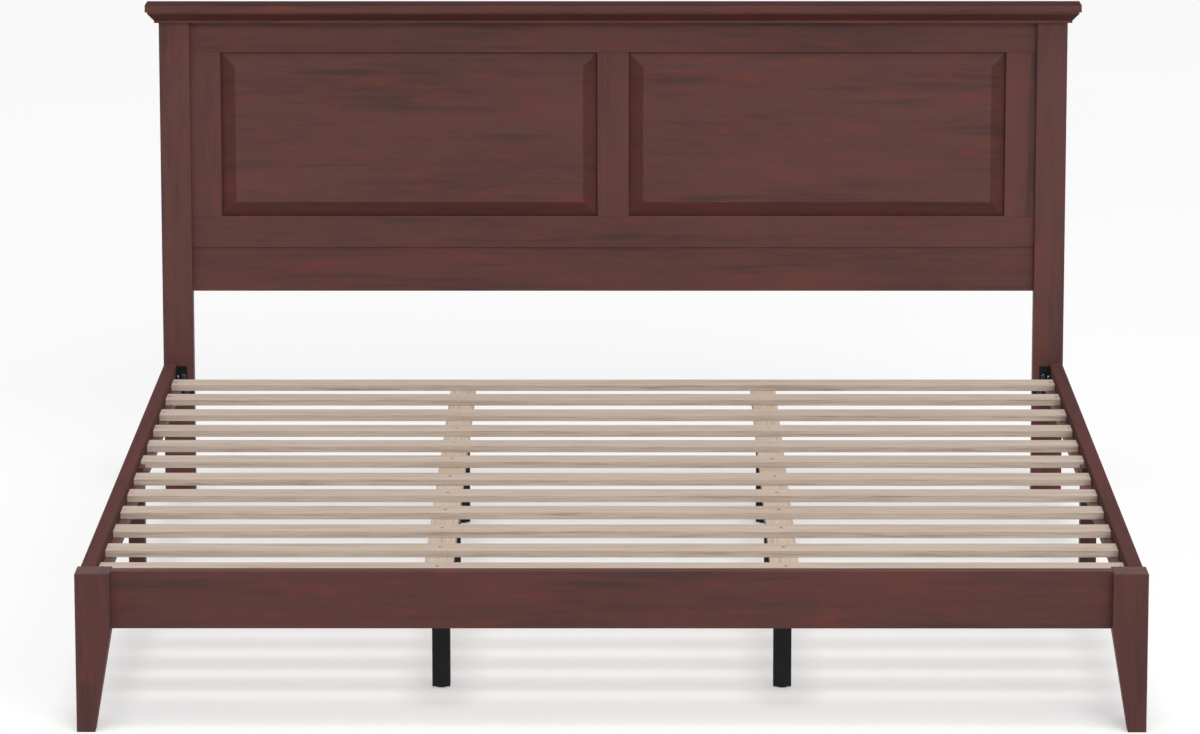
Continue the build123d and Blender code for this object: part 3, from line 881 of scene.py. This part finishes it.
@dataclass
class SteelLegs:
    """The square steel legs under the beams, with their welds, plugs and levelling feet.

    The bead's hollow, toe and ripple are shares of its leg, and the disc's rings are shares of the
    radius of its flat face.
    """

    rows: tuple[str, ...] = ("front", "middle", "rear")
    sides: tuple[str, ...] = ("left", "right")
    tube_size: float = 35.0 * MILLIMETRE
    tube_corner: float = 3.0 * MILLIMETRE
    plate_thickness: float = 3.0 * MILLIMETRE
    bead_leg: float = 2.6 * MILLIMETRE
    bead_hollow: float = 0.22
    bead_toe: float = 0.02
    bead_ripple: float = 0.18
    ripple_pitch: float = 2.4 * MILLIMETRE
    bead_points: int = 288
    bead_profile_points: int = 7
    disc_radius: float = 11.0 * MILLIMETRE
    disc_height: float = 4.0 * MILLIMETRE
    disc_round: float = 0.9 * MILLIMETRE
    disc_rings: Range = (0.35, 0.7)
    disc_round_points: int = 6
    stud_radius: float = 4.0 * MILLIMETRE
    stud_length: float = 25.0 * MILLIMETRE
    thread_pitch: float = 1.25 * MILLIMETRE
    thread_depth: float = 0.7 * MILLIMETRE
    steps_per_pitch: int = 6
    points_per_turn: int = 40
    foot_plastic: MouldedPlastic = MouldedPlastic()
    plug_plastic: MouldedPlastic = MouldedPlastic(colour="#2a2a2a", dusty="#343332")

    def outline(self, points: int) -> tuple[np.ndarray, np.ndarray]:
        """Walk round the tube's outline, a square with round corners, at equal steps.

        Each corner is a quarter turn of the corner radius, and each side a straight line between
        two corners. The walk starts at the middle of one side and its outward direction turns only
        in the corners.

        Args:
            points: number of steps round the outline.

        Returns:
            The points round the tube's centre, and the outward directions there, each points by 2.
        """
        half, corner = self.tube_size / 2, self.tube_corner
        straight, arc = 2 * (half - corner), math.pi * corner / 2
        walked = np.linspace(0.0, 4 * (straight + arc), points, endpoint=False)
        side, along = np.divmod(walked, straight + arc)
        turn = np.clip((along - straight) / arc, 0.0, 1.0) * math.pi / 2
        forward = np.minimum(along, straight) - straight / 2
        x = half - corner + corner * np.cos(turn)
        y = np.where(turn > 0, straight / 2 + corner * np.sin(turn), forward)
        angle = side * math.pi / 2
        cos, sin = np.cos(angle), np.sin(angle)
        place = np.stack([x * cos - y * sin, x * sin + y * cos], axis=-1)
        outward = np.stack([np.cos(angle + turn), np.sin(angle + turn)], axis=-1)
        return place, outward

    def weld_bead(self, name: str, centre: np.ndarray, top: float) -> bpy.types.Object:
        """Lay a fillet weld round the tube, under its plate.

        The profile starts in the corner of wall and plate, runs down the wall, and back up to the
        plate along a line that is a little hollow. It is carried round the tube's outline, and its
        size swells and shrinks as a cosine of the way walked, which gives the ripples of the weld.

        Args:
            name: the object's name.
            centre: X and Y of the tube's axis.
            top: height of the plate's underside.

        Returns:
            The weld.
        """
        place, outward = self.outline(self.bead_points)
        length = 4 * (self.tube_size - 2 * self.tube_corner) + 2 * math.pi * self.tube_corner
        ripples = round(length / self.ripple_pitch)
        phase = np.linspace(0.0, 2 * math.pi * ripples, len(place), endpoint=False)
        swell = 1.0 + self.bead_ripple * (np.cos(phase) - 1.0) / 2
        lift = np.linspace(0.0, math.pi / 2, self.bead_profile_points)
        hollow = 1.0 - self.bead_hollow * np.sin(2 * lift)
        out = np.concatenate([[0.0], np.sin(lift) ** 2 * hollow + self.bead_toe])
        down = np.concatenate([[0.0], np.cos(lift) ** 2 * hollow + self.bead_toe])
        reach = self.bead_leg * swell[:, None] * out[None, :]
        drop = self.bead_leg * swell[:, None] * down[None, :]
        flat = centre + place[:, None, :] + outward[:, None, :] * reach[:, :, None]
        surface = np.concatenate([flat, (top - drop)[:, :, None]], axis=-1)
        return grid_mesh(name, surface, close_rows=True)

    def levelling_foot(self, name: str, centre: np.ndarray) -> bpy.types.Object:
        """Turn a levelling foot: a round disc with eased edges, carrying a threaded stud.

        The disc and the stud are one profile of radius against height, carried round the axis. On
        the stud the radius falls from the crest by the thread's depth times a triangle wave of the
        height less the pitch times the share of a turn, so that its ridge climbs one pitch each
        turn.

        Args:
            name: the object's name.
            centre: X and Y of the foot's axis.

        Returns:
            The foot, standing on the floor.
        """
        ease = np.linspace(0.0, math.pi / 2, self.disc_round_points)
        inner, round_off = self.disc_radius - self.disc_round, self.disc_round
        radius = [np.array(self.disc_rings) * inner]
        height = [np.zeros(len(self.disc_rings))]
        radius.append(inner + round_off * np.sin(ease))
        height.append(round_off * (1 - np.cos(ease)))
        radius.append(inner + round_off * np.cos(ease))
        height.append(self.disc_height - round_off * (1 - np.sin(ease)))
        steps = int(self.stud_length / self.thread_pitch * self.steps_per_pitch)
        radius.append(np.full(steps, self.stud_radius))
        height.append(np.linspace(self.disc_height, self.disc_height + self.stud_length, steps))
        radius, height = np.concatenate(radius), np.concatenate(height)
        turns = np.linspace(0.0, 1.0, self.points_per_turn, endpoint=False)
        climb = (height[:, None] / self.thread_pitch - turns[None, :]) % 1.0
        on_stud = (np.arange(len(radius)) >= len(radius) - steps)[:, None]
        fade = np.clip((height[-1] - height) / self.thread_pitch, 0.0, 1.0)[:, None]
        cut = np.where(on_stud, self.thread_depth * (1 - np.abs(2 * climb - 1) * fade), 0.0)
        reach = radius[:, None] - cut
        angle = 2 * math.pi * turns[None, :]
        surface = np.stack(
            [
                centre[0] + reach * np.cos(angle),
                centre[1] + reach * np.sin(angle),
                np.broadcast_to(height[:, None], reach.shape),
            ],
            axis=-1,
        )
        return grid_mesh(name, surface, cap_ends=True)

    def build(self) -> None:
        """Dress the tubes and plugs, weld the plates and set the feet on their bodies."""
        coat = PowderCoat().material("black_powder_coat")
        plastic = self.foot_plastic.material("moulded_polypropylene_foot")
        zinc = BrightZinc().material("bright_zinc_stud")
        dress("tube_plugs", self.plug_plastic.material("moulded_polypropylene_plug"))
        for row in self.rows:
            for side in self.sides:
                leg, foot = f"steel_leg_{row}_{side}", f"levelling_foot_{row}_{side}"
                dress(leg, coat)
                low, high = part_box(foot)
                centre = np.array([(low.x + high.x) / 2, (low.y + high.y) / 2])
                plate_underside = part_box(leg)[1].z - self.plate_thickness
                bead = self.weld_bead(f"weld_{row}_{side}", centre, plate_underside)
                bead.data.materials.append(coat)
                bead.data.polygons.foreach_set("use_smooth", np.ones(len(bead.data.polygons), bool))
                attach(bead, "bed")
                LOG.info("%s laid", bead.name)
                piece = self.levelling_foot(f"foot_{row}_{side}", centre)
                piece.data.materials.append(plastic)
                piece.data.materials.append(zinc)
                heights = np.array([polygon.center.z for polygon in piece.data.polygons])
                half_step = self.thread_pitch / (2 * self.steps_per_pitch)
                on_stud = heights > self.disc_height + half_step
                piece.data.polygons.foreach_set("material_index", on_stud.astype(np.int32))
                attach(piece, foot)
                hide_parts(foot)
                LOG.info("%s turned", piece.name)


@dataclass
class Hardware:
    """The corner brackets, their bolts, the screws and the dowels."""

    screws: tuple[str, ...] = ("wood_screws", "plate_screws")
    bracket_coat: PowderCoat = PowderCoat(colour="#131314", worn="#19191a")
    zinc: BrightZinc = BrightZinc()
    black_zinc: BrightZinc = BrightZinc(bright="#6a6b6d", dull="#3f4042", roughness=0.34)
    beech: PlanedPoplar = PlanedPoplar(
        pale="#d8c09a", beige="#cfb28a", line="#b8966a", lines=Patches(60.0, 1.5, 3.0, 0.6)
    )

    def build(self, workshop: Workshop) -> None:
        """Dress the fasteners and brackets."""
        dress("corner_brackets", self.bracket_coat.material("black_powder_coat_bracket"))
        dress("bracket_bolts", self.black_zinc.material("black_zinc_bracket_bolts"))
        for node in self.screws:
            dress(node, self.zinc.material(f"bright_zinc_{node}"))
        cut = workshop.cut(Grain.ALONG_X)
        dress("dowels", self.beech.material("fluted_beech_dowels", cut))


def seen_directly(tree: bpy.types.NodeTree) -> bpy.types.NodeSocket:
    """Return one for what is seen directly, in a gloss or through glass, and zero for light."""
    ray = add_node(tree, "ShaderNodeLightPath").outputs
    looks = {0: ray["Is Camera Ray"], 1: ray["Is Glossy Ray"]}
    either = add_node(tree, "ShaderNodeMath", looks, operation="MAXIMUM")
    looks = {0: either.outputs[0], 1: ray["Is Transmission Ray"]}
    return add_node(tree, "ShaderNodeMath", looks, operation="MAXIMUM").outputs[0]


@dataclass
class Studio:
    """The pale floor, the soft light and the camera.

    Angles are in degrees, and places and sizes in metres. The camera sees the floor's shadows at
    shadow_share of their full depth, because the rest of what it sees there is a white glow.
    """

    floor_half: float = 90.0
    floor_colour: str = "#fafafa"
    floor_fleck: str = "#fcfcfc"
    floor_colour_at: float = 0.2
    floor_fleck_at: float = 0.8
    tooth_mm: float = 900.0
    floor_glow: float = 1.0
    shadow_share: float = 0.6
    key_strength: float = 2.05
    key_angle: float = 28.0
    key_tilt: float = 13.0
    dome_strength: float = 0.25
    front_size: tuple[float, float] = (8.4, 7.4)
    front_place: Point = (4.0, -13.1, 8.5)
    front_aim: Point = (0.0, 1.0, 0.7)
    front_radiance: float = 4.7
    camera_place: Point = (0.0203, -11.6625, 2.731)
    camera_pitch: float = 10.855
    camera_yaw: float = -0.224
    camera_roll: float = 0.036
    camera_focal_mm: float = 173.757
    camera_sensor_mm: float = 36.0
    camera_reach: float = 400.0

    def floor(self) -> bpy.types.Object:
        """Lay the floor: a flat sheet of matt white paper, square, centred under the bed.

        The tooth of real paper is far too fine to show, so it is drawn as wide, soft patches.
        """
        half = self.floor_half
        corners = [(-half, -half, 0.0), (half, -half, 0.0), (half, half, 0.0), (-half, half, 0.0)]
        mesh = bpy.data.meshes.new("studio_floor")
        mesh.from_pydata(corners, [], [(0, 1, 2, 3)])
        piece = bpy.data.objects.new("studio_floor", mesh)
        bpy.context.scene.collection.objects.link(piece)
        material, tree = blank_material("matt_white_paper")
        place = add_node(tree, "ShaderNodeTexCoord").outputs["Object"]
        pattern = {"Vector": place, "Scale": per_metre(self.tooth_mm), "Detail": 2.0}
        tooth = add_node(tree, "ShaderNodeTexNoise", pattern).outputs["Fac"]
        stops = [(self.floor_colour_at, self.floor_colour), (self.floor_fleck_at, self.floor_fleck)]
        colour = add_node(tree, "ShaderNodeValToRGB", {"Fac": tooth}, stops).outputs["Color"]
        paper = add_node(tree, "ShaderNodeBsdfDiffuse", {"Color": colour})
        white = {"Color": WHITE, "Strength": self.floor_glow}
        glow = add_node(tree, "ShaderNodeEmission", white)
        lift = {"Value": seen_directly(tree), 3: 0.0, 4: 1.0 - self.shadow_share}
        share = add_node(tree, "ShaderNodeMapRange", lift)
        layers = {0: share.outputs[0], 1: paper.outputs[0], 2: glow.outputs[0]}
        surface = add_node(tree, "ShaderNodeMixShader", layers)
        add_node(tree, "ShaderNodeOutputMaterial", {"Surface": surface.outputs[0]})
        mesh.materials.append(material)
        return piece

    def dome(self) -> None:
        """Light the room evenly from all round, and show it white where it is seen directly."""
        world = bpy.data.worlds.new("white_room")
        world.use_nodes = True
        tree = world.node_tree
        tree.nodes.clear()
        lift = {"Value": seen_directly(tree), 3: self.dome_strength, 4: 1.0}
        strength = add_node(tree, "ShaderNodeMapRange", lift).outputs[0]
        light = add_node(tree, "ShaderNodeBackground", {"Color": WHITE, "Strength": strength})
        add_node(tree, "ShaderNodeOutputWorld", {"Surface": light.outputs[0]})
        bpy.context.scene.world = world

    def lamps(self) -> None:
        """Hang a wide overhead light, tipped towards the foot, and a soft panel high in front."""
        key = bpy.data.lights.new("overhead_softbox", "SUN")
        key.energy = self.key_strength
        key.angle = math.radians(self.key_angle)
        overhead = bpy.data.objects.new("overhead_softbox", key)
        overhead.rotation_euler = (math.radians(self.key_tilt), 0.0, 0.0)
        bpy.context.scene.collection.objects.link(overhead)
        panel = bpy.data.lights.new("front_softbox", "AREA")
        panel.shape = "RECTANGLE"
        panel.size, panel.size_y = self.front_size
        panel.energy = self.front_radiance * math.pi * panel.size * panel.size_y
        front = bpy.data.objects.new("front_softbox", panel)
        front.location = self.front_place
        front.visible_camera = False
        aim = Vector(self.front_aim) - Vector(self.front_place)
        front.rotation_euler = aim.to_track_quat("-Z", "Y").to_euler()
        bpy.context.scene.collection.objects.link(front)

    def camera(self) -> None:
        """Set up the camera: a long lens before the foot, looking slightly down, almost square on.

        The view direction comes from its pitch and yaw. The level sideways direction and the
        direction down are then turned about it by the roll.
        """
        angles = (self.camera_pitch, self.camera_yaw, self.camera_roll)
        pitch, yaw, roll = (math.radians(angle) for angle in angles)
        forward = math.cos(pitch)
        ahead = Vector((math.sin(yaw) * forward, math.cos(yaw) * forward, -math.sin(pitch)))
        level = Vector((math.cos(yaw), -math.sin(yaw), 0.0))
        down = ahead.cross(level)
        right = level * math.cos(roll) + down * math.sin(roll)
        up = level * math.sin(roll) - down * math.cos(roll)
        data = bpy.data.cameras.new("camera")
        data.lens = self.camera_focal_mm
        data.sensor_width = self.camera_sensor_mm
        data.clip_end = self.camera_reach
        camera = bpy.data.objects.new("camera", data)
        turn = Matrix((right, up, -ahead)).transposed().to_4x4()
        camera.matrix_world = Matrix.Translation(self.camera_place) @ turn
        bpy.context.scene.collection.objects.link(camera)
        bpy.context.scene.camera = camera

    def build(self) -> None:
        """Set the stage, the lights and the camera."""
        self.floor()
        self.dome()
        self.lamps()
        self.camera()
        bpy.context.scene.view_settings.view_transform = "Standard"


def main() -> None:
    """Build the bed's looks, sub-assembly by sub-assembly, then the studio."""
    logging.basicConfig(level=logging.INFO, format="%(name)s: %(message)s")
    workshop = Workshop()
    Headboard().build(workshop)
    FootAndSides().build(workshop)
    SlatDeck().build(workshop)
    SteelLegs().build()
    Hardware().build(workshop)
    Studio().build()


if __name__ == "__main__":
    main()
